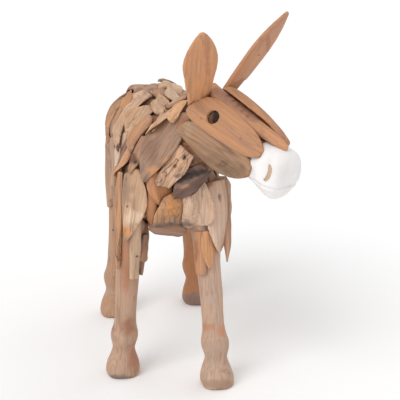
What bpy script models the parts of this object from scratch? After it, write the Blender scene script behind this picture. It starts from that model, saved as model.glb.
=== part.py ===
"""Standing donkey clad in teak slabs. Metres, +Z up, nose towards -Y, head turned to its left, +X."""

import math
from collections import namedtuple
from random import Random

import bmesh
import bpy
import numpy as np
from mathutils import Vector
from mathutils.bvhtree import BVHTree

# Trunk
BELLY_HEIGHT = 0.385
TRUNK_LENGTH = 0.60
TRUNK_WIDTH = 0.216
TRUNK_DEPTH = 0.250
CHEST_Y = -0.262

# Head and neck
POLL = Vector((0.100, -0.262, 0.738))
HEAD_YAW = math.radians(39)
HEAD_PITCH = math.radians(15.5)
HEAD_LENGTH = 0.222
HEAD_WIDTH = 0.105
HEAD_DEPTH = 0.150
MUZZLE_LENGTH = 0.088
MUZZLE_WIDTH = 0.104
MUZZLE_DEPTH = 0.120
NECK_ROOT = Vector((0.0, -0.10, 0.525))

# Ears
EAR_LENGTH_LEFT = 0.219
EAR_LENGTH_RIGHT = 0.196
EAR_WIDTH = 0.082
EAR_THICKNESS = 0.018
EAR_SPREAD = math.radians(23)
EAR_LEAN = math.radians(12)
EAR_TURN_LEFT = math.radians(14)
EAR_TURN_RIGHT = math.radians(22)
EAR_OUT_LEFT = 0.058
EAR_OUT_RIGHT = 0.048
EAR_FORWARD = 0.006
EYE_HOLE = 0.032
EYE_HOLE_SIDES = 12

# Legs, given by where the hooves stand and how far apart the leg tops are
HOOF_WIDTH = 0.084
LEG_TOP_APART = 0.156
LEG_TOP_HEIGHT = BELLY_HEIGHT + TRUNK_DEPTH * 0.54
HOOVES = {
    "front_left": Vector((0.115, -0.270, 0)),
    "front_right": Vector((-0.115, -0.182, 0)),
    "hind_left": Vector((0.120, 0.285, 0)),
    "hind_right": Vector((-0.120, 0.215, 0)),
}
FRONT_LEG_TOP_Y = -0.185
HIND_LEG_TOP_Y = 0.235
FRONT_LEG_BEND = -0.008
HIND_LEG_BEND = 0.016

# Fit between neighbouring pieces
CLEARANCE = 0.0004
FUSED_DEPTH = 0.008
OVER_SKIN = 1.12

# A slab is a grid: its columns across as shares of the half width, and how thick each is as a share
ACROSS = (-1.0, -0.45, 0.45, 1.0)
CROWN = (0.6, 1.0, 1.0, 0.6)
LEAST_LEFT = 0.5

# How far from its line a slab looks for what it lies on, and how finely
RAY_REACH = 0.062
DEEPEST_SUPPORT = 0.045
SPOTS_ALONG_EDGE = 8

# How readily a slab settles: against tilting along and across and bending, then its seat
STIFFNESS = (0.0, 0.25, 0.2, 0.02, 0.02)
MOST_BEND = 5.0
SEATED_SHARE = 0.5
SETTLING_ROUNDS = 30
LIFT_STEP = 0.0003
MOST_LIFT = 0.06

# Share of the ear's length, of its width and of its thickness
EAR_OUTLINE = (
    (0.00, 0.60, 1.0),
    (0.16, 0.70, 1.0),
    (0.36, 0.95, 0.95),
    (0.58, 1.00, 0.85),
    (0.78, 0.74, 0.7),
    (0.93, 0.38, 0.5),
    (1.00, 0.12, 0.4),
)

UP = Vector((0, 0, 1))
Station = namedtuple("Station", "share centre half_width half_height")


def finish(name, base_colour, roughness):
    """A plain wood or paint material."""
    material = bpy.data.materials.new(name)
    material.use_nodes = True
    shader = material.node_tree.nodes["Principled BSDF"]
    shader.inputs["Base Color"].default_value = (*base_colour, 1)
    shader.inputs["Roughness"].default_value = roughness
    return material


def clear_scene():
    for thing in list(bpy.data.objects):
        bpy.data.objects.remove(thing, do_unlink=True)


def add_mesh(name, points, faces, material):
    mesh = bpy.data.meshes.new(name)
    mesh.from_pydata([tuple(p) for p in points], [], faces)
    mesh.materials.append(material)
    piece = bpy.data.objects.new(name, mesh)
    bpy.context.scene.collection.objects.link(piece)
    return piece


def loft(name, rings, material):
    """Closed solid through rings of equally many points, with flat ends."""
    sides = len(rings[0])
    points = [point for ring in rings for point in ring]
    faces = [list(reversed(range(sides)))]
    for row in range(len(rings) - 1):
        for side in range(sides):
            following = (side + 1) % sides
            faces.append(
                [
                    row * sides + side,
                    row * sides + following,
                    (row + 1) * sides + following,
                    (row + 1) * sides + side,
                ]
            )
    faces.append([(len(rings) - 1) * sides + side for side in range(sides)])
    piece = add_mesh(name, points, faces, material)
    sound = bmesh.new()
    sound.from_mesh(piece.data)
    bmesh.ops.recalc_face_normals(sound, faces=sound.faces)
    sound.to_mesh(piece.data)
    sound.free()
    return piece


def rounded_ring(centre, right, up, half_width, half_height, power, sides):
    """Superellipse: power 2 is an ellipse, and a higher power squares its shoulders."""
    ring = []
    for side in range(sides):
        turn = 2 * math.pi * side / sides
        across, along = math.sin(turn), math.cos(turn)
        ring.append(
            centre
            + right * half_width * math.copysign(abs(across) ** (2 / power), across)
            + up * half_height * math.copysign(abs(along) ** (2 / power), along)
        )
    return ring


class Stem:
    """A tapering inner form along a centre line, from its front end, share 0, to its rear end, share 1."""

    def __init__(self, stations, power, sides, up=UP):
        self.stations = [Station(*values) for values in stations]
        self.power, self.sides, self.up = power, sides, up

    def at(self, share):
        """Centre, right, up, rearward direction, half width and half height at a share of the length."""
        last = len(self.stations) - 1
        index = 0
        while index < last - 1 and share > self.stations[index + 1].share:
            index += 1
        near, far = self.stations[index], self.stations[index + 1]
        blend = (share - near.share) / (far.share - near.share)
        centre = near.centre.lerp(far.centre, blend)
        rearward = self.tangent(share)
        right = self.up.cross(rearward).normalized()
        half_width = near.half_width + (far.half_width - near.half_width) * blend
        half_height = near.half_height + (far.half_height - near.half_height) * blend
        return centre, right, rearward.cross(right), rearward, half_width, half_height

    def tangent(self, share):
        reach = 0.12
        ends = []
        for at in (max(0.0, share - reach), min(1.0, share + reach)):
            index = 0
            while index < len(self.stations) - 2 and at > self.stations[index + 1].share:
                index += 1
            near, far = self.stations[index], self.stations[index + 1]
            ends.append(
                near.centre.lerp(far.centre, (at - near.share) / (far.share - near.share))
            )
        return (ends[1] - ends[0]).normalized()

    def rings(self):
        made = []
        for station in self.stations:
            centre, right, up, _, half_width, half_height = self.at(station.share)
            made.append(
                rounded_ring(
                    centre, right, up, half_width, half_height, self.power, self.sides
                )
            )
        return made


def head_axes():
    """Forward, left and up of the head, which is turned to the donkey's left and nods."""
    level = Vector((math.sin(HEAD_YAW), -math.cos(HEAD_YAW), 0))
    forward = level * math.cos(HEAD_PITCH) - UP * math.sin(HEAD_PITCH)
    left = UP.cross(level)
    return forward, left, forward.cross(left)


HEAD_FORWARD, HEAD_LEFT, HEAD_UP = head_axes()


def trunk_stem():
    middle_height = BELLY_HEIGHT + TRUNK_DEPTH / 2
    # Share of the length, of the width and of the depth, and how far the centre is raised
    profile = (
        (0.00, 0.52, 0.55, 0.004),
        (0.05, 0.80, 0.82, 0.002),
        (0.15, 0.98, 0.98, 0.000),
        (0.32, 1.00, 1.02, -0.004),
        (0.55, 1.04, 1.03, -0.005),
        (0.78, 1.02, 1.00, 0.002),
        (0.90, 0.90, 0.90, 0.003),
        (0.97, 0.72, 0.74, 0.000),
        (1.00, 0.50, 0.55, -0.002),
    )
    stations = [
        (
            share,
            Vector((0, CHEST_Y + TRUNK_LENGTH * share, middle_height + raised)),
            TRUNK_WIDTH / 2 * wide,
            TRUNK_DEPTH / 2 * deep,
        )
        for share, wide, deep, raised in profile
    ]
    return Stem(stations, power=2.6, sides=20)


def head_stem():
    back = POLL - HEAD_UP * HEAD_DEPTH * 0.5 - HEAD_FORWARD * 0.03
    # Share of the length from the muzzle joint, of the width and of the depth, and how far the centre drops
    profile = (
        (0.00, 0.74, 0.62, 0.012),
        (0.30, 0.86, 0.74, 0.008),
        (0.62, 1.00, 0.96, 0.004),
        (0.85, 1.00, 1.00, 0.000),
        (1.00, 0.82, 0.80, 0.000),
    )
    stations = [
        (
            share,
            back + HEAD_FORWARD * HEAD_LENGTH * (1 - share) - HEAD_UP * drop,
            HEAD_WIDTH / 2 * wide,
            HEAD_DEPTH / 2 * deep,
        )
        for share, wide, deep, drop in profile
    ]
    return Stem(stations, power=3.0, sides=16, up=HEAD_UP)


def neck_stem():
    crown = POLL - HEAD_UP * HEAD_DEPTH * 0.52 + HEAD_FORWARD * 0.005
    # Share from head to trunk, half width, half height
    profile = (
        (0.00, 0.044, 0.062),
        (0.35, 0.056, 0.080),
        (0.70, 0.078, 0.104),
        (1.00, 0.092, 0.118),
    )
    bend = Vector((0.0, -0.028, 0.0))
    stations = [
        (
            share,
            crown.lerp(NECK_ROOT, share) + bend * math.sin(math.pi * share),
            half_width,
            half_height,
        )
        for share, half_width, half_height in profile
    ]
    return Stem(stations, power=2.3, sides=16)


def muzzle_rings():
    joint = HEAD.stations[0].centre + HEAD_FORWARD * CLEARANCE
    # Share of the length, of the width and of the depth, and how far the centre drops
    profile = (
        (0.00, 0.72, 0.72, 0.000),
        (0.22, 0.84, 0.82, 0.002),
        (0.50, 1.00, 0.98, 0.006),
        (0.75, 1.00, 1.00, 0.010),
        (0.92, 0.82, 0.84, 0.012),
        (1.00, 0.50, 0.52, 0.014),
    )
    return [
        rounded_ring(
            joint + HEAD_FORWARD * MUZZLE_LENGTH * share - HEAD_UP * drop,
            -HEAD_LEFT,
            HEAD_UP,
            MUZZLE_WIDTH / 2 * wide,
            MUZZLE_DEPTH / 2 * deep,
            2.3,
            16,
        )
        for share, wide, deep, drop in profile
    ]


# Height as a share of the leg, half width and half depth as shares of the hoof's half width
LEG_PROFILE = (
    (0.000, 0.97, 1.02),
    (0.045, 1.00, 1.06),
    (0.080, 0.90, 0.94),
    (0.125, 0.68, 0.72),
    (0.150, 0.66, 0.70),
    (0.175, 0.76, 0.82),
    (0.205, 0.84, 0.92),
    (0.235, 0.78, 0.82),
    (0.280, 0.64, 0.68),
    (0.420, 0.66, 0.74),
    (0.580, 0.74, 0.90),
    (0.740, 0.86, 1.10),
    (0.860, 0.96, 1.30),
    (1.000, 0.90, 1.30),
)


def leg_rings(hoof, top_y, bend):
    """One log, carved with hoof, pastern, fetlock and cannon, leaning to its place under the trunk."""
    top = Vector((math.copysign(LEG_TOP_APART / 2, hoof.x), top_y, LEG_TOP_HEIGHT))
    rings = []
    for share, wide, deep in LEG_PROFILE:
        lean = share**1.2
        centre = Vector(
            (
                hoof.x + (top.x - hoof.x) * lean,
                hoof.y + (top.y - hoof.y) * lean + bend * math.sin(math.pi * share),
                top.z * share,
            )
        )
        rings.append(
            rounded_ring(
                centre,
                Vector((1, 0, 0)),
                Vector((0, -1, 0)),
                HOOF_WIDTH / 2 * wide,
                HOOF_WIDTH / 2 * deep,
                2.2,
                12,
            )
        )
    return rings


def boolean(piece, tool, operation):
    step = piece.modifiers.new(operation.title(), "BOOLEAN")
    step.operation, step.object = operation, tool
    bpy.context.view_layer.objects.active = piece
    bpy.ops.object.modifier_apply(modifier=step.name)


def triangulated(piece):
    """The piece with every face cut into triangles, so that its surface is the same to every reader."""
    cut = bmesh.new()
    cut.from_mesh(piece.data)
    bmesh.ops.triangulate(cut, faces=cut.faces)
    cut.to_mesh(piece.data)
    cut.free()
    return piece


def swollen_copy(piece):
    """The piece grown by the clearance, as a cutter for what must stay clear of it."""
    copy = piece.copy()
    copy.data = piece.data.copy()
    bpy.context.scene.collection.objects.link(copy)
    normals = [vertex.normal.copy() for vertex in copy.data.vertices]
    for vertex, normal in zip(copy.data.vertices, normals):
        vertex.co += normal * CLEARANCE
    return copy


TRUNK, HEAD, NECK = trunk_stem(), head_stem(), neck_stem()


def inner_body(material):
    """The wood behind the slabs: trunk, neck and head in one."""
    body = loft("inner_body", TRUNK.rings(), material)
    for name, stem in (("neck_form", NECK), ("head_form", HEAD)):
        form = loft(name, stem.rings(), material)
        boolean(body, form, "UNION")
        bpy.data.objects.remove(form, do_unlink=True)
    return triangulated(body)


def cut_clear(pieces, body):
    """The pieces cut back from the body, so that they butt against it with a fine gap."""
    cutter = swollen_copy(body)
    for piece in pieces:
        boolean(piece, cutter, "DIFFERENCE")
        triangulated(piece)
    bpy.data.objects.remove(cutter, do_unlink=True)
    return pieces


def legs(material):
    made = []
    for name, hoof in HOOVES.items():
        front = name.startswith("front")
        top_y = FRONT_LEG_TOP_Y if front else HIND_LEG_TOP_Y
        bend = FRONT_LEG_BEND if front else HIND_LEG_BEND
        made.append(loft("leg_" + name, leg_rings(hoof, top_y, bend), material))
    return made


class Heap:
    """Everything laid so far, so that the next slab can come down on it."""

    def __init__(self, pieces):
        self.points, self.faces = [], []
        for piece in pieces:
            self.add(piece)
        self.form = self.tree

    def add(self, piece):
        start = len(self.points)
        self.points += [vertex.co.copy() for vertex in piece.data.vertices]
        self.faces += [
            [start + index for index in polygon.vertices] for polygon in piece.data.polygons
        ]
        self.tree = BVHTree.FromPolygons(self.points, self.faces)

    def height(self, point, outward):
        """How far above the point the heap reaches along the outward direction, None off its edge."""
        hit = self.tree.ray_cast(point + outward * RAY_REACH, -outward, RAY_REACH * 2)[0]
        return None if hit is None else (hit - point).dot(outward)

    def outward(self, start, end, facing):
        """Way that a slab from start to end faces, square to it: given, or away from the inner form."""
        total = Vector(facing or (0, 0, 0))
        for share in (0.1, 0.3, 0.5, 0.7, 0.9) if facing is None else ():
            total += self.form.find_nearest(start.lerp(end, share))[1]
        grain = (end - start).normalized()
        return (total - grain * total.dot(grain)).normalized()


def outline_rows(chance, outline, length, width, bow):
    """Rows of a slab's outline, hewn a little unevenly: distance along, left edge and right edge."""
    rows = []
    for share, left, right in outline:
        middle = bow * math.sin(math.pi * share)
        left *= width * chance.uniform(0.93, 1.06)
        right *= width * chance.uniform(0.93, 1.06)
        rows.append(((share - 0.5) * length, middle - left, middle + right))
    return rows


def slab_triangles(rows, columns):
    """Top and bottom of one grid, top points first, and the sides that close them."""
    count = rows * columns
    top, sides = [], []
    for row in range(rows - 1):
        for column in range(columns - 1):
            corner = row * columns + column
            top.append((corner, corner + columns + 1, corner + 1))
            top.append((corner, corner + columns, corner + columns + 1))
    bottom = [(a + count, c + count, b + count) for a, b, c in top]
    rim = list(range(columns))
    rim += [row * columns + columns - 1 for row in range(1, rows)]
    rim += [(rows - 1) * columns + column for column in range(columns - 2, -1, -1)]
    rim += [row * columns for row in range(rows - 2, 0, -1)]
    for here, following in zip(rim, rim[1:] + rim[:1]):
        sides.append((here, following + count, here + count))
        sides.append((here, following, following + count))
    return top, bottom, sides


def bent_plane(samples):
    """The gently bent plane nearest to (along, across, height) samples, as a function."""
    along, across, height = (np.array(column) for column in zip(*samples))
    basis = np.stack([np.ones_like(along), along, across, along**2, across**2], 1)
    basis = np.concatenate([basis, np.diag(STIFFNESS)])
    height = np.concatenate([height, np.zeros(len(STIFFNESS))])
    found = list(np.linalg.lstsq(basis, height, rcond=None)[0])
    found[3:] = [max(-MOST_BEND, min(MOST_BEND, bend)) for bend in found[3:]]
    level, tilt_along, tilt_across, bend_along, bend_across = map(float, found)

    def height_at(a, b):
        return (
            level + tilt_along * a + tilt_across * b + bend_along * a * a + bend_across * b * b
        )

    return height_at


def dense_spots(triangles):
    """Spots all over a grid's triangles: each spot's three corners and their weights."""
    shares = [step / SPOTS_ALONG_EDGE for step in range(SPOTS_ALONG_EDGE + 1)]
    for corners in triangles:
        for first in shares:
            for second in shares:
                if first + second <= 1.0001:
                    yield corners, (first, second, 1 - first - second)


def weighed(values, corners, weights):
    return sum(values[corner] * weight for corner, weight in zip(corners, weights))


def lay_slab(slab, heap, material, chance, fused_to=None):
    """A slab that comes down on the heap, bent to it and clear of it, or sunk into what it joins."""
    start, end = slab.start, slab.end
    middle, length, grain = (start + end) / 2, (end - start).length, (end - start).normalized()
    outward = heap.outward(start, end, slab.facing)
    across = outward.cross(grain)
    outline = outline_rows(chance, OUTLINES[slab.outline], length, slab.width, slab.bow)
    columns = len(ACROSS)
    grid = [
        (along, (left + right) / 2 + (right - left) / 2 * share)
        for along, left, right in outline
        for share in ACROSS
    ]
    top, bottom, sides = slab_triangles(len(outline), columns)
    alongs, acrosses = zip(*grid)

    neighbour = None if fused_to is None else Heap([fused_to])

    def reach(below, a, b, clearance):
        """Height at which the slab's underside rests on what is below, None where that ends."""
        height = below.height(middle + grain * a + across * b, outward)
        return None if height is None else height + clearance

    samples, spots, heap_spots = [], [], []
    for corners, weights in dense_spots(top):
        a, b = weighed(alongs, corners, weights), weighed(acrosses, corners, weights)
        on_heap = reach(heap, a, b, CLEARANCE)
        found = [on_heap, neighbour and reach(neighbour, a, b, -FUSED_DEPTH)]
        found = [height for height in found if height is not None and height > -DEEPEST_SUPPORT]
        if found:
            spots.append((corners, weights, max(found)))
            samples.append((a, b, max(found)))
        if on_heap is not None:
            heap_spots.append((corners, weights, on_heap))
    rest = bent_plane(samples)
    lay = [rest(a, b) for a, b in grid]
    lacks = sorted(height - weighed(lay, corners, weights) for corners, weights, height in spots)
    seat = lacks[int(len(lacks) * SEATED_SHARE)] if lacks else 0.0
    lay = [height + seat for height in lay]
    under = settled(lay, spots)
    if neighbour:
        sunk = [reach(neighbour, a, b, -slab.thickness) for a, b in grid]
        under = [low if deep is None else min(low, deep) for low, deep in zip(under, sunk)]
        under = settled(under, heap_spots)
    lift = 0.0
    while True:
        points = []
        for index, (a, b) in enumerate(grid):
            full = slab.thickness * CROWN[index % columns]
            height = max(lay[index] + full, under[index] + full * LEAST_LEFT) + lift
            points.append(middle + grain * a + across * b + outward * height)
        for index, (a, b) in enumerate(grid):
            points.append(middle + grain * a + across * b + outward * (under[index] + lift))
        faces = top + bottom + sides
        if not BVHTree.FromPolygons(points, faces).overlap(heap.tree):
            return add_mesh(slab.node, points, faces, material)
        lift += LIFT_STEP
        if lift > MOST_LIFT:
            raise ValueError(f"{slab.node} does not lie clear")


def settled(lay, spots):
    """The underside's heights, pressed up corner by corner wherever it would cut into a spot."""
    under = list(lay)
    for _ in range(SETTLING_ROUNDS):
        worst = 0.0
        for corners, weights, height in spots:
            lack = height - weighed(under, corners, weights)
            worst = max(worst, lack)
            if lack > 0:
                push = lack / sum(weight * weight for weight in weights)
                for corner, weight in zip(corners, weights):
                    under[corner] += push * weight
        if worst < LIFT_STEP / 10:
            break
    return under


def surface(stem, along, around, reach=OVER_SKIN):
    """A point by share of a stem's length, degrees from its top to its right, and share of its radius."""
    centre, right, up, _, half_width, half_height = stem.at(along)
    turn = math.radians(around)
    wide = abs(math.sin(turn)) / half_width
    high = abs(math.cos(turn)) / half_height
    radius = (wide**stem.power + high**stem.power) ** (-1 / stem.power)
    return centre + (right * math.sin(turn) + up * math.cos(turn)) * radius * reach


def ear(name, side, out, length, turn, heap, material):
    """A leaf-shaped board on the poll, its foot whittled to fit; side is 1 for left, -1 for right."""
    foot = head_at(EAR_FORWARD, out * side, 0.0)
    lean, spread = math.sin(EAR_LEAN), math.sin(EAR_SPREAD)
    grain = HEAD_UP * math.sqrt(1 - lean**2 - spread**2) + HEAD_FORWARD * lean
    grain += HEAD_LEFT * spread * side
    facing = HEAD_FORWARD * math.cos(turn) + HEAD_LEFT * math.sin(turn) * side
    outward = (facing - grain * facing.dot(grain)).normalized()
    across = outward.cross(grain)
    columns, count = len(ACROSS), len(EAR_OUTLINE) * len(ACROSS)
    top, bottom, sides = slab_triangles(len(EAR_OUTLINE), columns)
    points = []
    for direction in (1, -1):
        for share, wide, thick in EAR_OUTLINE:
            for place, crown in zip(ACROSS, CROWN):
                points.append(
                    foot
                    + grain * length * share
                    + across * EAR_WIDTH / 2 * wide * place
                    + outward * direction * EAR_THICKNESS / 2 * thick * crown
                )
    footing = [*range(columns), *range(count, count + columns)]
    drops = [heap.height(points[index], grain) for index in footing]
    deepest = min(drop for drop in drops if drop is not None)
    for index, drop in zip(footing, drops):
        points[index] += grain * (deepest if drop is None else drop)
    faces = top + bottom + sides
    while BVHTree.FromPolygons(points, faces).overlap(heap.tree):
        for index in footing:
            points[index] += grain * LIFT_STEP
    for index in footing:
        points[index] += grain * CLEARANCE
    return add_mesh(name, points, faces, material)


def drilled(piece, centre, direction, diameter):
    """The piece with a round hole through it."""
    bit = loft(
        "bit",
        [
            rounded_ring(
                centre + direction * reach,
                direction.orthogonal().normalized(),
                direction.cross(direction.orthogonal()).normalized(),
                diameter / 2,
                diameter / 2,
                2,
                EYE_HOLE_SIDES,
            )
            for reach in (-0.05, 0.05)
        ],
        piece.data.materials[0],
    )
    boolean(piece, bit, "DIFFERENCE")
    bpy.data.objects.remove(bit, do_unlink=True)
    return triangulated(piece)


def trunk_at(*place):
    return surface(TRUNK, *place)


def neck_at(*place):
    return surface(NECK, *place)


def at(x, y, z):
    return Vector((x, y, z))


def below_belly(x, y, down):
    return Vector((x, y, BELLY_HEIGHT - down))


def head_at(forward, left, up):
    """A point given from the poll along the turned head's own axes."""
    return POLL + HEAD_FORWARD * forward + HEAD_LEFT * left + HEAD_UP * up


def mirrored(direction):
    """The direction's mirror image across the middle of the turned head."""
    return direction - HEAD_LEFT * 2 * direction.dot(HEAD_LEFT)


# Outlines: share of the length, then left and right edge as shares of the width
def even(*rows):
    return tuple((share, wide / 2, wide / 2) for share, wide in rows)


OUTLINES = {
    "leaf": even((0, 0.14), (0.2, 0.76), (0.5, 1.0), (0.8, 0.72), (1, 0.12)),
    "spear": even((0, 0.7), (0.3, 1.0), (0.6, 0.88), (0.85, 0.5), (1, 0.1)),
    "shield": even((0, 0.5), (0.16, 0.9), (0.5, 1.0), (0.84, 0.8), (1, 0.36)),
    "board": even((0, 0.86), (0.35, 1.0), (0.65, 0.98), (1, 0.8)),
    "neck_shield": (
        (0, -0.02, 0.36),
        (0.12, 0.29, 0.31),
        (0.35, 0.58, 0.42),
        (0.6, 0.54, 0.36),
        (0.86, 0.17, 0.33),
        (1, -0.14, 0.28),
    ),
    "shoulder_shield": (
        (0, 0.12, 0.05),
        (0.12, 0.46, 0.3),
        (0.35, 0.47, 0.53),
        (0.6, 0.34, 0.46),
        (0.86, 0.2, 0.2),
        (1, 0.1, -0.04),
    ),
    "eye_plate": (
        (0, 0.28, 0.02),
        (0.12, 0.39, 0.48),
        (0.35, 0.44, 0.56),
        (0.6, 0.45, 0.51),
        (0.86, 0.43, 0.31),
        (1, 0.24, 0.02),
    ),
    "cheek_plate": (
        (0, 0.02, 0.14),
        (0.12, 0.21, 0.37),
        (0.35, 0.54, 0.42),
        (0.6, 0.58, 0.42),
        (0.86, 0.3, 0.42),
        (1, 0.02, 0.26),
    ),
    "brow": (
        (0, 0.1, 0.15),
        (0.12, 0.5, 0.26),
        (0.35, 0.46, 0.52),
        (0.6, 0.3, 0.5),
        (0.86, 0.26, 0.26),
        (1, 0.2, -0.08),
    ),
}
OUTLINES["eye_plate_left"] = tuple(
    (share, right, left) for share, left, right in OUTLINES["eye_plate"]
)
Slab = namedtuple(
    "Slab", "node start end width thickness outline finish bow facing", defaults=(0.0, None)
)
EYE_PLATE_FACING = HEAD_UP * 0.50 - HEAD_LEFT * 0.83
CHEEK_FACING = -HEAD_UP * 0.12 - HEAD_LEFT * 0.98
EYE_RIGHT = head_at(0.066, -0.048, -0.032)
EYE_LEFT = head_at(0.068, 0.044, -0.022)


def shingles(
    nodes, side, finishes, first, step, top, bottom, forward, broad, outline, thickness=0.012
):
    """Slabs side by side from the rear forwards, broad times as wide as the step between them."""
    chance = Random(nodes[0] + str(side))
    width = broad * step * TRUNK_LENGTH
    made = []
    for number, node in enumerate(nodes):
        along = first - step * number
        start = trunk_at(along, side * (top + chance.uniform(-4, 4)))
        end = trunk_at(
            along - forward * chance.uniform(0.85, 1.15), side * (bottom + chance.uniform(-6, 6))
        )
        made.append(
            Slab(
                node,
                start,
                end,
                width * chance.uniform(0.92, 1.1),
                thickness,
                outline,
                finishes[number % len(finishes)],
            )
        )
    return made


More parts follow.
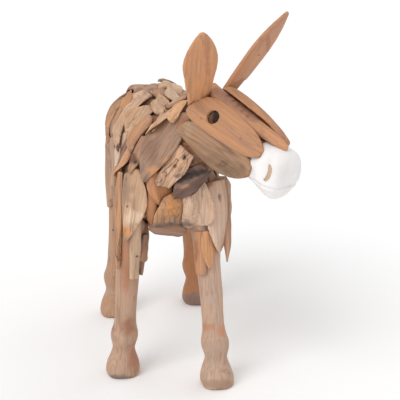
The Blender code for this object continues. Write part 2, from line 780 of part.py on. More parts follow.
# Slabs in the order they are nailed on. Those of one node are fused, because they hide from the front
SLABS = (
    # Strips on the front legs
    Slab(
        "leg_strip_left_inner", below_belly(0.070, -0.262, -0.011), below_belly(0.071, -0.276, 0.095),
        0.034, 0.012, "board", "honey",
    ),
    Slab(
        "leg_strip_left_outer", below_belly(0.091, -0.269, -0.015), below_belly(0.094, -0.281, 0.078),
        0.040, 0.013, "spear", "honey",
    ),
    Slab(
        "leg_strip_right_pale", below_belly(-0.083, -0.225, -0.045), below_belly(-0.086, -0.222, 0.115),
        0.028, 0.012, "board", "pale",
    ),
    Slab(
        "leg_strip_right_inner", below_belly(-0.060, -0.214, 0.005), below_belly(-0.067, -0.214, 0.113),
        0.026, 0.012, "spear", "grey", facing=(0.7, -0.7, 0),
    ),
    # Chest
    Slab(
        "chest_strip", at(-0.038, -0.276, 0.520), at(-0.046, -0.247, 0.386),
        0.030, 0.013, "spear", "honey",
    ),
    Slab(
        "chest_triangle", at(-0.030, -0.276, 0.548), at(-0.016, -0.277, 0.465),
        0.062, 0.014, "spear", "honey",
    ),
    Slab(
        "chest_keel", at(0.002, -0.277, 0.500), at(0.002, -0.215, 0.372),
        0.084, 0.014, "shield", "honey",
    ),
    Slab(
        "shoulder_left_shield", at(0.114, -0.264, 0.515), at(0.122, -0.285, 0.344),
        0.070, 0.014, "spear", "pale", facing=(0.1, -1, 0),
    ),
    Slab(
        "chest_oval", at(0.059, -0.273, 0.532), at(0.053, -0.262, 0.404),
        0.070, 0.015, "shield", "pale",
    ),
    Slab(
        "shoulder_left_side", trunk_at(0.24, -70), at(0.134, -0.140, 0.345),
        0.070, 0.013, "spear", "pale",
    ),
    Slab(
        "shoulder_left_point", at(0.124, -0.158, 0.560), at(0.140, -0.178, 0.318),
        0.050, 0.013, "spear", "honey", facing=(1, 0, 0),
    ),
    # Right shoulder
    Slab(
        "shoulder_right_rear", trunk_at(0.20, 80), at(-0.138, -0.150, 0.300),
        0.050, 0.013, "spear", "grey",
    ),
    Slab(
        "shoulder_right_shield", at(-0.077, -0.261, 0.551), at(-0.101, -0.244, 0.369),
        0.074, 0.014, "shoulder_shield", "pale",
    ),
    Slab(
        "shoulder_right_long", at(-0.120, -0.215, 0.535), at(-0.126, -0.225, 0.294),
        0.040, 0.013, "spear", "honey",
    ),
    Slab(
        "chest_dark", at(0.085, -0.276, 0.556), at(0.003, -0.276, 0.492),
        0.052, 0.014, "spear", "dark",
    ),
    Slab(
        "chest_knotty", at(0.039, -0.290, 0.600), at(-0.016, -0.269, 0.522),
        0.052, 0.014, "board", "pale",
    ),
    # Under the flanks
    *shingles(
        ["belly_right"] * 4, 1, ("grey", "pale", "honey"), 0.68, 0.115, 100, 156, 0.02, 1.4,
        "shield",
    ),
    *shingles(
        ["belly_left"] * 3, -1, ("honey", "grey", "pale"), 0.68, 0.125, 100, 156, 0.02, 1.35,
        "shield",
    ),
    # Thighs and rump
    Slab(
        "thigh_right", trunk_at(0.80, 92, 1.2), at(-0.130, 0.215, 0.315),
        0.085, 0.013, "spear", "grey",
    ),
    Slab(
        "thigh_left", trunk_at(0.84, -92, 1.2), at(0.132, 0.270, 0.315),
        0.090, 0.013, "spear", "pale",
    ),
    Slab("rump", trunk_at(0.97, 12), trunk_at(1.0, 176, 0.7), 0.105, 0.014, "shield", "grey"),
    Slab("rump", trunk_at(0.94, 40), trunk_at(0.99, 135, 0.95), 0.080, 0.013, "shield", "honey"),
    Slab("rump", trunk_at(0.94, -30), trunk_at(0.99, -135, 0.95), 0.090, 0.013, "shield", "honey"),
    # Middle of the flanks
    *shingles(
        ["flank_right_rear"] * 3, 1, ("honey", "pale", "grey"), 0.88, 0.13, 54, 112, 0.07, 1.25,
        "shield",
    ),
    *shingles(
        ["flank_left_rear"] * 3 + ["flank_left_front"] * 3, -1, ("pale", "honey", "grey"), 0.90,
        0.124, 54, 114, 0.08, 1.3, "shield",
    ),
    *shingles(
        ["back_right"] * 4, 1, ("pale", "grey", "honey"), 0.84, 0.15, 20, 68, 0.1, 1.2, "shield",
        0.007,
    ),
    Slab("flank_right_rib", trunk_at(0.42, 52), trunk_at(0.32, 112), 0.074, 0.013, "spear", "pale"),
    Slab("flank_right_edge", trunk_at(0.90, 26), trunk_at(0.80, 78), 0.066, 0.013, "leaf", "grey"),
    Slab(
        "flank_right_spotted", trunk_at(0.72, 22), trunk_at(0.47, 82),
        0.074, 0.014, "leaf", "honey",
    ),
    Slab("flank_right_white", trunk_at(0.22, 39), trunk_at(0.30, 94), 0.046, 0.013, "leaf", "pale"),
    Slab("flank_right_long", trunk_at(0.68, 9), trunk_at(0.20, 62), 0.074, 0.014, "leaf", "pale"),
    Slab(
        "flank_right_orange", trunk_at(0.09, 46), trunk_at(0.13, 90),
        0.040, 0.013, "leaf", "honey",
    ),
    Slab(
        "shoulder_right_knot", at(-0.058, -0.225, 0.625), at(-0.092, -0.253, 0.541),
        0.040, 0.013, "spear", "pale",
    ),
    Slab("flank_right_tan", trunk_at(0.45, 6), trunk_at(0.12, 44), 0.062, 0.014, "leaf", "pale"),
    Slab(
        "flank_right_stripe", trunk_at(0.20, 12), trunk_at(0.06, 51),
        0.044, 0.014, "leaf", "honey",
    ),
    # Upper left flank
    *shingles(
        ["back_left_rear"] * 3 + ["back_left_front"] * 3, -1, ("honey", "pale", "honey", "grey"),
        0.94, 0.105, 12, 66, 0.18, 1.4, "leaf",
    ),
    # Along the back
    Slab("back_rear", trunk_at(0.96, -4), trunk_at(0.58, -3), 0.060, 0.014, "leaf", "grey"),
    Slab("back_middle", trunk_at(0.60, -1), trunk_at(0.16, 2), 0.056, 0.014, "leaf", "pale"),
    Slab("back_left_light", trunk_at(0.70, -12), trunk_at(0.40, -18), 0.042, 0.013, "leaf", "pale"),
    Slab("back_left_grey", trunk_at(0.88, -8), trunk_at(0.72, -34), 0.050, 0.013, "shield", "grey"),
    Slab("rump_top", trunk_at(0.78, 10), trunk_at(0.97, 34), 0.050, 0.013, "shield", "grey"),
    # Neck
    Slab("neck_left", neck_at(0.05, -60), neck_at(0.80, -95), 0.090, 0.014, "shield", "grey"),
    Slab("neck_left", neck_at(0.0, -30), neck_at(0.62, -50), 0.060, 0.014, "leaf", "honey"),
    Slab(
        "neck_right_shield", at(0.042, -0.250, 0.681), at(-0.076, -0.270, 0.541),
        0.086, 0.015, "neck_shield", "grey",
    ),
    Slab(
        "neck_right_crest", at(0.049, -0.212, 0.724), at(-0.052, -0.222, 0.622),
        0.042, 0.013, "leaf", "pale", facing=(-0.45, -0.80, 0.40),
    ),
    Slab("neck_crest", neck_at(0.05, -6), neck_at(0.60, 0), 0.050, 0.014, "leaf", "grey"),
    Slab(
        "neck_right_leaf", at(0.046, -0.238, 0.716), at(0.004, -0.262, 0.664),
        0.032, 0.013, "shield", "pale",
    ),
    # Head
    Slab(
        "brow", head_at(0.0, -0.004, 0.0), head_at(0.250, 0.004, -0.045),
        0.058, 0.019, "brow", "honey", facing=HEAD_UP,
    ),
    Slab(
        "cheek_right", head_at(-0.013, -0.061, -0.094), head_at(0.196, -0.034, -0.116),
        0.110, 0.014, "cheek_plate", "grey", facing=CHEEK_FACING,
    ),
    Slab(
        "cheek_left", head_at(-0.013, 0.061, -0.094), head_at(0.196, 0.034, -0.116),
        0.110, 0.014, "shield", "grey", facing=mirrored(CHEEK_FACING),
    ),
    Slab(
        "eye_plate_right", head_at(-0.006, -0.058, -0.030), head_at(0.212, -0.025, -0.053),
        0.075, 0.014, "eye_plate", "honey", facing=EYE_PLATE_FACING,
    ),
    Slab(
        "eye_plate_left", head_at(-0.006, 0.054, -0.011), head_at(0.208, 0.022, -0.052),
        0.080, 0.028, "eye_plate_left", "honey", bow=-0.006, facing=mirrored(EYE_PLATE_FACING),
    ),
)

clear_scene()
FINISHES = {
    "inner": finish("inner_teak", (0.16, 0.08, 0.04), 0.85),
    "log": finish("pale_log", (0.50, 0.32, 0.20), 0.75),
    "pale": finish("pale_teak", (0.58, 0.40, 0.27), 0.75),
    "honey": finish("honey_teak", (0.50, 0.26, 0.12), 0.65),
    "grey": finish("grey_teak", (0.34, 0.25, 0.19), 0.85),
    "dark": finish("dark_teak", (0.14, 0.09, 0.07), 0.85),
    "white": finish("white_paint", (0.85, 0.83, 0.81), 0.6),
}
BODY = inner_body(FINISHES["inner"])
MUZZLE = loft("muzzle", muzzle_rings(), FINISHES["white"])
HEAP = Heap([BODY, *cut_clear([MUZZLE, *legs(FINISHES["log"])], BODY)])
WAITING, WAITING_COUNT = None, 0
for SLAB, FOLLOWING in zip(SLABS, (*SLABS[1:], None)):
    HEWING = Random(f"{SLAB.node} {WAITING_COUNT}")
    PIECE = lay_slab(SLAB, HEAP, FINISHES[SLAB.finish], HEWING, fused_to=WAITING)
    if WAITING is not None:
        boolean(WAITING, PIECE, "UNION")
        bpy.data.objects.remove(PIECE, do_unlink=True)
        PIECE = triangulated(WAITING)
    if FOLLOWING is not None and FOLLOWING.node == SLAB.node:
        WAITING, WAITING_COUNT = PIECE, WAITING_COUNT + 1
    else:
        WAITING, WAITING_COUNT = None, 0
        HEAP.add(PIECE)
for NAME, EYE, FACING in (
    ("eye_plate_right", EYE_RIGHT, EYE_PLATE_FACING),
    ("eye_plate_left", EYE_LEFT, mirrored(EYE_PLATE_FACING)),
):
    drilled(bpy.data.objects[NAME], EYE, FACING.normalized(), EYE_HOLE)
for NAME, *SHAPE in (
    ("ear_right", -1, EAR_OUT_RIGHT, EAR_LENGTH_RIGHT, EAR_TURN_RIGHT),
    ("ear_left", 1, EAR_OUT_LEFT, EAR_LENGTH_LEFT, EAR_TURN_LEFT),
):
    HEAP.add(ear(NAME, *SHAPE, HEAP, FINISHES["honey"]))

CORNERS = [
    piece.matrix_world @ vertex.co for piece in bpy.data.objects for vertex in piece.data.vertices
]
LOWEST, HIGHEST = (
    Vector([pick(corner[axis] for corner in CORNERS) for axis in range(3)]) for pick in (min, max)
)
CENTRING = Vector((-(LOWEST.x + HIGHEST.x) / 2, -(LOWEST.y + HIGHEST.y) / 2, -LOWEST.z))
for PIECE in bpy.data.objects:
    PIECE.location = CENTRING
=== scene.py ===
"""Looks of the slab-built teak donkey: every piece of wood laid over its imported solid."""

import math
from random import Random

import bmesh
import bpy
import numpy as np
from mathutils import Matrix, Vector, noise
from mathutils.bvhtree import BVHTree


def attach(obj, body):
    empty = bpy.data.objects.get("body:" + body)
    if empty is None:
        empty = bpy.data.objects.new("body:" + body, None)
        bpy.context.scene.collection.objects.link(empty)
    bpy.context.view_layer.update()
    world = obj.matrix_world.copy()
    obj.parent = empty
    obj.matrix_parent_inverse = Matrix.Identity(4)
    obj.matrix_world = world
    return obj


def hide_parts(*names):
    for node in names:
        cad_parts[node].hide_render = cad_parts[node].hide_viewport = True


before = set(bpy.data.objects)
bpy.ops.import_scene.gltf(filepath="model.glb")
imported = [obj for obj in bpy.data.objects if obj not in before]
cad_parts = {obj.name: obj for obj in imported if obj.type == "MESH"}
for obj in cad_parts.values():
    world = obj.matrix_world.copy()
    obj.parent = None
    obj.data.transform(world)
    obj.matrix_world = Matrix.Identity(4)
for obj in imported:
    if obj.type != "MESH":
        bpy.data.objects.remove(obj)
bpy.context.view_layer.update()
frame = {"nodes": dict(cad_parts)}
NODES = frame["nodes"]

# The photograph's camera, aimed from the left front hoof
ON_GROUND = 0.001
HOOF = NODES["leg_front_left"]
SOLE = [vertex.co for vertex in HOOF.data.vertices if vertex.co.z < ON_GROUND]
FOOT = sum(SOLE, Vector()) / len(SOLE)
TARGET = FOOT + Vector((-0.014, 0.270, 0.3934))
AZIMUTH, ELEVATION = math.radians(-6), math.radians(17)
DISTANCE = 3.155
FOCAL = 1218.0
FRAME_SIZE = 400
SENSOR = 36.0
BACK = Vector(
    (
        math.sin(AZIMUTH) * math.cos(ELEVATION),
        -math.cos(AZIMUTH) * math.cos(ELEVATION),
        math.sin(ELEVATION),
    )
)
RIGHT = Vector((math.cos(AZIMUTH), math.sin(AZIMUTH), 0))
ABOVE = BACK.cross(RIGHT)
EYE = TARGET + BACK * DISTANCE

# The head's own axes: its turn to the left and its nod
YAW, PITCH = math.radians(39), math.radians(15.5)
LEVEL = Vector((math.sin(YAW), -math.cos(YAW), 0))
FORWARD = LEVEL * math.cos(PITCH) - Vector((0, 0, math.sin(PITCH)))
LEFT = Vector((0, 0, 1)).cross(LEVEL)
CROWN = FORWARD.cross(LEFT)

# The trunk, for laying slabs on it
TRUNK_FRONT = FOOT + Vector((-0.115, 0.008, 0.510))
TRUNK_LENGTH = 0.60


def linear(red, green, blue):
    """Linear colour from 0 to 255 screen values."""
    found = []
    for value in (red, green, blue):
        value /= 255
        found.append(value / 12.92 if value <= 0.04045 else ((value + 0.055) / 1.055) ** 2.4)
    return tuple(found)


class Net:
    """A shader socket that takes part in arithmetic, adding a node for each step."""

    def __init__(self, tree, socket):
        self.tree, self.socket = tree, socket

    def node(self, kind, inputs, output=0, **settings):
        made = self.tree.nodes.new(kind)
        for key, value in settings.items():
            setattr(made, key, value)
        for key, value in inputs.items():
            if isinstance(value, Net):
                self.tree.links.new(value.socket, made.inputs[key])
            else:
                made.inputs[key].default_value = value
        return Net(self.tree, made.outputs[output])

    def maths(self, operation, *others):
        inputs = dict(enumerate((self, *others)))
        return self.node("ShaderNodeMath", inputs, operation=operation)

    def __add__(self, other):
        return self.maths("ADD", other)

    def __sub__(self, other):
        return self.maths("SUBTRACT", other)

    def __mul__(self, other):
        return self.maths("MULTIPLY", other)

    def stretch(self, x, y, z):
        inputs = {0: self, 1: (x, y, z)}
        return self.node("ShaderNodeVectorMath", inputs, operation="MULTIPLY")

    def noise(self, scale=1.0, detail=3.0, roughness=0.5, distortion=0.0):
        inputs = {
            "Vector": self,
            "Scale": scale,
            "Detail": detail,
            "Roughness": roughness,
            "Distortion": distortion,
        }
        return self.node("ShaderNodeTexNoise", inputs)

    def step(self, low, high):
        """0 below low, 1 above high, smooth between."""
        inputs = {"Value": self, "From Min": low, "From Max": high, "To Min": 0.0, "To Max": 1.0}
        return self.node("ShaderNodeMapRange", inputs, interpolation_type="SMOOTHSTEP")

    def grained(self, along, across, **settings):
        """Noise in waves a metre along the grain and across it."""
        return self.stretch(along, across, across).noise(**settings)

    def lit(self, light):
        """This colour, brighter or darker by a factor."""
        inputs = {0: self, "Scale": light}
        return self.node("ShaderNodeVectorMath", inputs, operation="SCALE")

    def mixed(self, first, second):
        """From the first colour to the second by this factor."""
        inputs = {0: self, 6: first, 7: second}
        return self.node("ShaderNodeMix", inputs, output=2, data_type="RGBA", clamp_factor=True)


# The depth in metres that a height of 1 stands for in the bump, and the bump's strength
BUMP_DEPTH, BUMP_STRENGTH = 0.001, 0.9


def painted(name, build):
    """A material whose colour, roughness and height come from a build function of its nodes."""
    material = bpy.data.materials.new(name)
    material.use_nodes = True
    tree = material.node_tree
    shader = tree.nodes["Principled BSDF"]
    start = Net(tree, None)

    def attribute(key, output):
        return start.node("ShaderNodeAttribute", {}, output=output, attribute_name=key)

    colour, roughness, height = build(attribute)
    tree.links.new(colour.socket, shader.inputs["Base Color"])
    tree.links.new(roughness.socket, shader.inputs["Roughness"])
    inputs = {"Height": height, "Strength": BUMP_STRENGTH, "Distance": BUMP_DEPTH}
    bump = height.node("ShaderNodeBump", inputs)
    tree.links.new(bump.socket, shader.inputs["Normal"])
    return material


# Tints that every wood shares, as linear values
WARM_TINT, GREY_VEIL = (0.50, 0.235, 0.10, 1), (0.25, 0.185, 0.155, 1)
CONTOUR_LINE, DARK_STREAK = (0.17, 0.085, 0.055, 1), (0.15, 0.075, 0.048, 1)
PORE, CRACK = (0.12, 0.06, 0.04, 1), (0.035, 0.018, 0.012, 1)
# Edges rubbed light, and painted shade that darkens the hollows
RUBBED_EDGE, PAINTED_HOLLOW_SHADE = (0.66, 0.47, 0.34, 1), (0.07, 0.035, 0.022, 1)


def wood(name, contour, fibre, crack, grey, drift, rough, rings=7.0, pits=0.3):
    """Teak along the grain attribute: contour lines, fibres, cracks, a grey veil and drifting tint."""

    def build(attribute):
        grain = attribute("grain", 1)
        tone, patch = attribute("tone", 0), attribute("patch", 0)
        patched, wear_and_hollow_shade = attribute("patch", 3), attribute("wear_and_hollow_shade", 2)
        body = grain.grained(1.8, 24.0, detail=2.0, distortion=0.25)
        slow = grain.grained(2.0, 9.0, detail=1.0)
        lines = (body * rings + slow * 2.0).maths("PINGPONG", 0.5) * 2.0
        dark_lines = lines.step(0.62, 0.98)
        fibres = grain.grained(16.0, 620.0, detail=4.0, roughness=0.65)
        strands = grain.grained(7.0, 170.0, detail=3.0, roughness=0.6)
        split = grain.grained(4.5, 78.0, detail=2.0, distortion=0.25)
        cracks = (split - 0.5).maths("ABSOLUTE").step(0.022, 0.003) * slow.step(0.46, 0.60)
        streaks = grain.grained(7.0, 62.0, detail=3.0, roughness=0.6).step(0.58, 0.72)
        pores = grain.grained(95.0, 900.0, detail=1.0).step(0.63, 0.72)
        veil = grain.grained(6.0, 30.0, detail=4.0, roughness=0.6)
        warm = grain.grained(4.0, 14.0, detail=2.0)

        colour = (warm.step(0.35, 0.7) * drift).mixed(tone, WARM_TINT)
        colour = (veil.step(0.42, 0.72) * grey).mixed(colour, GREY_VEIL)
        colour = (dark_lines * contour).mixed(colour, CONTOUR_LINE)
        colour = (streaks * contour * 1.3).mixed(colour, DARK_STREAK)
        light = (strands - 0.5) * 2.0 * fibre + (fibres - 0.5) * 0.9 * fibre + 1.0
        colour = colour.lit(light)
        colour = (pores * pits).mixed(colour, PORE)
        edged = (patched + (veil - 0.5) * 0.7 + (strands - 0.5) * 0.5).step(0.05, 0.75)
        colour = (edged * patched.step(0.02, 0.2)).mixed(colour, patch.lit(light))
        rubbed = (wear_and_hollow_shade + (strands - 0.5) * 0.3).step(0.60, 0.95)
        colour = (rubbed * 0.45).mixed(colour, RUBBED_EDGE)
        # Painted shade: the hollows darkened where the surface lies in
        colour = (wear_and_hollow_shade.step(0.42, 0.12) * 0.75).mixed(colour, PAINTED_HOLLOW_SHADE)
        colour = (cracks * crack).mixed(colour, CRACK)
        roughness = (strands - 0.5) * 0.25 + rough
        height = strands * 1.1 * fibre + fibres * 0.5 * fibre - cracks * 1.6 * crack
        height = height + lines * 0.5 * contour - pores * 0.4 * pits
        return colour, roughness, height

    return painted(name, build)


# The muzzle's paint, clean and dulled, darkened in the hollows as painted shade, and rubbed thin, as
# linear values
CLEAN_PAINT, DULL_PAINT = (0.87, 0.85, 0.84, 1), (0.79, 0.76, 0.745, 1)
PAINT_HOLLOW_SHADE, THIN_PAINT = (0.50, 0.46, 0.43, 1), (0.60, 0.54, 0.49, 1)


def whitewash(name):
    """Off-white paint, brushed over carved wood and worn to bare teak where a patch says."""

    def build(attribute):
        grain, patch = attribute("grain", 1), attribute("patch", 0)
        patched, wear_and_hollow_shade = attribute("patch", 3), attribute("wear_and_hollow_shade", 2)
        strokes = grain.grained(40.0, 160.0, detail=4.0, roughness=0.6)
        cloud = grain.grained(22.0, 22.0, detail=3.0)
        colour = cloud.step(0.3, 0.75).mixed(CLEAN_PAINT, DULL_PAINT)
        # Painted shade: the paint darkened in the hollows, round the nostrils' bowls too
        colour = (wear_and_hollow_shade.step(0.44, 0.18) * 0.6).mixed(colour, PAINT_HOLLOW_SHADE)
        colour = (strokes.step(0.66, 0.8) * 0.25).mixed(colour, THIN_PAINT)
        edged = (patched + (strokes - 0.5) * 0.6).step(0.40, 0.56)
        colour = edged.mixed(colour, patch)
        return colour, cloud * 0.1 + 0.55, strokes * 0.7

    return painted(name, build)


WOODS = {
    # contour, fibre, crack, grey, drift, rough
    "sanded": wood("teak_sanded", 0.24, 0.34, 0.08, 0.24, 0.40, 0.62, rings=10.0, pits=0.25),
    "weathered": wood("teak_weathered", 0.40, 0.55, 0.75, 0.60, 0.42, 0.78),
    "pale": wood("teak_bleached", 0.22, 0.32, 0.45, 0.30, 0.34, 0.74, rings=6.0),
    "charred": wood("teak_charred", 0.85, 0.80, 1.00, 0.45, 0.15, 0.82, rings=8.0),
    "log": wood("teak_log", 0.26, 0.20, 0.12, 0.34, 0.36, 0.66, rings=10.0, pits=0.2),
    "inner": wood("teak_inner", 0.55, 0.45, 0.90, 0.30, 0.20, 0.88),
    "paint": whitewash("whitewash"),
}


def pixel_ray(x, y):
    """Direction from the camera through a point of the 400 by 400 frame."""
    half = FRAME_SIZE / 2
    return (RIGHT * (x - half) / FOCAL - ABOVE * (y - half) / FOCAL - BACK).normalized()


def projected(points):
    """Frame coordinates of many points."""
    offset = points - np.array(EYE)
    depth = -offset @ np.array(BACK)
    half = FRAME_SIZE / 2
    return (
        half + FOCAL * (offset @ np.array(RIGHT)) / depth,
        half - FOCAL * (offset @ np.array(ABOVE)) / depth,
        depth,
    )


def vertices_of(mesh, what="co"):
    found = np.empty(len(mesh.vertices) * 3)
    if what == "co":
        mesh.vertices.foreach_get("co", found)
    else:
        mesh.vertex_normals.foreach_get("vector", found)
    return found.reshape(-1, 3)


# Angles between faces: within one hewn face, and across a slab's edge
FLAT_ENOUGH, SHARP_ENOUGH = math.radians(24), math.radians(48)
# Corners of a CAD node's loose triangles that are closer than this are one corner
WELD = 0.00005


def select_only(piece):
    bpy.ops.object.select_all(action="DESELECT")
    piece.select_set(True)
    bpy.context.view_layer.objects.active = piece


def apply_modifier(piece, kind, **settings):
    select_only(piece)
    step = piece.modifiers.new(kind.lower(), kind)
    for key, value in settings.items():
        setattr(step, key, value)
    bpy.ops.object.modifier_apply(modifier=step.name)


def refined(name, voxel, smoothing, rounding=0, crease=0.0, swell=0.9):
    """A copy of a CAD node, drawn smooth through its corners, evenly and finely meshed."""
    piece = bpy.data.objects.new("teak_" + name, NODES[name].data.copy())
    bpy.context.scene.collection.objects.link(piece)
    welded = bmesh.new()
    welded.from_mesh(piece.data)
    bmesh.ops.remove_doubles(welded, verts=welded.verts, dist=WELD)
    bmesh.ops.join_triangles(
        welded,
        faces=welded.faces,
        angle_face_threshold=FLAT_ENOUGH,
        angle_shape_threshold=math.pi,
    )
    creases = welded.edges.layers.float.new("crease_edge")
    for edge in welded.edges:
        if edge.calc_face_angle(0) > SHARP_ENOUGH:
            edge[creases] = crease
    welded.to_mesh(piece.data)
    welded.free()
    if rounding:
        cage = piece.data.copy()
        apply_modifier(piece, "SUBSURF", levels=rounding)
        corners = vertices_of(cage)
        lost = corners - vertices_of(piece.data)[: len(corners)]
        cage.vertices.foreach_set("co", (corners + lost * swell).ravel())
        piece.data = cage
        apply_modifier(piece, "SUBSURF", levels=rounding)
    apply_modifier(piece, "REMESH", mode="VOXEL", voxel_size=voxel)
    apply_modifier(piece, "SMOOTH", iterations=smoothing, factor=0.5)
    return piece


def grain_axes(points):
    """Middle of the points, and their longest, middle and shortest axes."""
    middle = points.mean(0)
    _, axes = np.linalg.eigh(np.cov((points - middle).T))
    long, wide, thin = axes[:, 2], axes[:, 1], axes[:, 0]
    if long[2] < 0:
        long = -long
    return middle, np.array([long, wide, thin])


def convexity(mesh, rounds=3):
    """How far each vertex stands out from its neighbours, 0.5 on a flat, evened a little."""
    count = len(mesh.vertices)
    ends = np.empty(len(mesh.edges) * 2, int)
    mesh.edges.foreach_get("vertices", ends)
    first, second = ends.reshape(-1, 2).T
    near = np.bincount(first, minlength=count) + np.bincount(second, minlength=count)
    near = np.maximum(near, 1)

    def averaged(values):
        total = np.bincount(first, values[second], count)
        return (total + np.bincount(second, values[first], count)) / near

    points, normals = vertices_of(mesh), vertices_of(mesh, "normal")
    evened = np.stack([averaged(points[:, axis]) for axis in range(3)], 1)
    standing = ((points - evened) * normals).sum(1)
    for _ in range(rounds):
        standing = averaged(standing)
    return standing


def set_attribute(mesh, name, kind, values):
    layer = mesh.attributes.new(name, kind, "POINT")
    key = {"FLOAT": "value", "FLOAT_VECTOR": "vector", "FLOAT_COLOR": "color"}[kind]
    layer.data.foreach_set(key, np.ascontiguousarray(values, float).ravel())


# Waves a metre, along the grain and across it: of hewn faces, of tool marks and of ragged edges
FACE_WAVES, TOOL_WAVES, EDGE_WAVES = (11, 34), (34, 130), (26, 8)


def wave_at(place, waves, shift):
    """Noise from -1 to 1 at a place in grain coordinates."""
    u, v, w = place
    along, across = waves
    return noise.noise(Vector((u * along, v * across, w * across)) + shift)


def hewn(piece, look, seed, axes=None, wave=0.0012, ragged=0.0022, flute=0.0005):
    """Hewn faces and ragged edges, then the attributes that the wood materials read."""
    mesh = piece.data
    points, normals = vertices_of(mesh), vertices_of(mesh, "normal")
    middle, axes = axes or grain_axes(points)
    local = (points - middle) @ axes.T
    half = max(np.abs(local[:, 1]).max(), 0.001)
    shift = Vector((seed * 3.7, seed * 1.3, seed * 7.1))
    out, side = np.empty(len(points)), np.empty(len(points))
    for index, place in enumerate(local):
        out[index] = wave_at(place, FACE_WAVES, shift) * wave
        out[index] += wave_at(place, TOOL_WAVES, shift) * flute
        side[index] = wave_at(place, EDGE_WAVES, -shift) * ragged
    side *= np.sign(local[:, 1]) * (np.abs(local[:, 1]) / half) ** 3
    points = points + normals * out[:, None] + side[:, None] * axes[1]
    points[:, 2] = np.maximum(points[:, 2], 0.0)
    mesh.vertices.foreach_set("co", points.ravel())
    mesh.update()
    dress(piece, look, local + np.array(shift) * 0.31, seed)


# A mark: waves a metre of its edge, how far they move it as a share of its size, how quickly it
# fades from its middle, and how far in front of or behind its own slab it may colour, in metres
MARK_WAVES, MARK_RAGGED, MARK_FADE, MARK_DEPTH = 62, 0.55, 0.6, 0.045
# How far an edge stands out where it is well rubbed, or a hollow lies in where it is darkened as
# painted shade: on a hewn solid, on a laid slab, on the muzzle
HEWN_EDGE, LAID_EDGE, PAINT_EDGE = 0.00042, 0.0016, 0.0003


def dress(piece, look, grain, seed):
    """Grain coordinates, tone, patches, and edge wear with painted shade in the hollows, and the
    material that reads them.
    """
    mesh = piece.data
    points = vertices_of(mesh)
    chance = Random(seed)
    tone = np.array(linear(*look["tone"])) * chance.uniform(0.94, 1.06)
    count = len(points)
    set_attribute(mesh, "grain", "FLOAT_VECTOR", grain)
    set_attribute(mesh, "tone", "FLOAT_COLOR", np.tile([*tone, 1.0], (count, 1)))
    patch = np.zeros((count, 4))
    patch[:, :3] = tone
    best, mixed, total = np.zeros(count), np.zeros((count, 3)), np.full(count, 1e-9)
    x, y, depth = projected(points)
    marks = look.get("marks", ())
    ragged = np.zeros((count, 2))
    if marks:
        for index, point in enumerate(points):
            here = Vector(point) * MARK_WAVES
            ragged[index] = noise.noise(here), noise.noise(here + Vector((9, 5, 2)))
    ragged *= MARK_RAGGED
    for px, py, rx, ry, colour in marks:
        hit = SURFACES[look["node"]].ray_cast(EYE, pixel_ray(px, py))
        reach = DISTANCE if hit[0] is None else (hit[0] - EYE).dot(-BACK)
        aside, down = (x - px) / rx + ragged[:, 0], (y - py) / ry + ragged[:, 1]
        inside = np.clip(1 - np.hypot(aside, down) * MARK_FADE, 0, 1)
        inside[np.abs(depth - reach) > MARK_DEPTH] = 0
        best = np.maximum(best, inside)
        mixed += inside[:, None] ** 4 * np.array(linear(*colour))
        total += inside**4
    marked = best > 0
    patch[marked, :3] = mixed[marked] / total[marked, None]
    patch[:, 3] = best
    set_attribute(mesh, "patch", "FLOAT_COLOR", patch)
    standing = convexity(mesh)
    # Standing out gives rubbed edges; lying in gives painted shade in the hollows
    wear_and_hollow_shade = 0.5 + standing / look.get("edge", HEWN_EDGE) * 0.25
    set_attribute(mesh, "wear_and_hollow_shade", "FLOAT", np.clip(wear_and_hollow_shade, 0, 1))
    mesh.materials.clear()
    mesh.materials.append(WOODS[look["wood"]])
    select_only(piece)
    bpy.ops.object.shade_smooth()
    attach(piece, "root")


def surface_of(name):
    mesh = NODES[name].data
    return BVHTree.FromPolygons(
        [vertex.co for vertex in mesh.vertices], [polygon.vertices for polygon in mesh.polygons]
    )


SURFACES = {name: surface_of(name) for name in NODES}

# Patches: frame coordinates, half width and half height in frame pixels, colour
BROWN, UMBER, KNOT, ASH, ORANGE, CREAM = (
    (158, 106, 76),
    (112, 76, 58),
    (58, 40, 33),
    (128, 108, 98),
    (204, 142, 90),
    (214, 184, 156),
)


def stroke(start, end, half_width, half_height, colour, count=9):
    """Marks one after another from one point of the frame to another."""
    shares = [index / (count - 1) for index in range(count)]
    return [
        (
            start[0] + (end[0] - start[0]) * share,
            start[1] + (end[1] - start[1]) * share,
            half_width,
            half_height,
            colour,
        )
        for share in shares
    ]


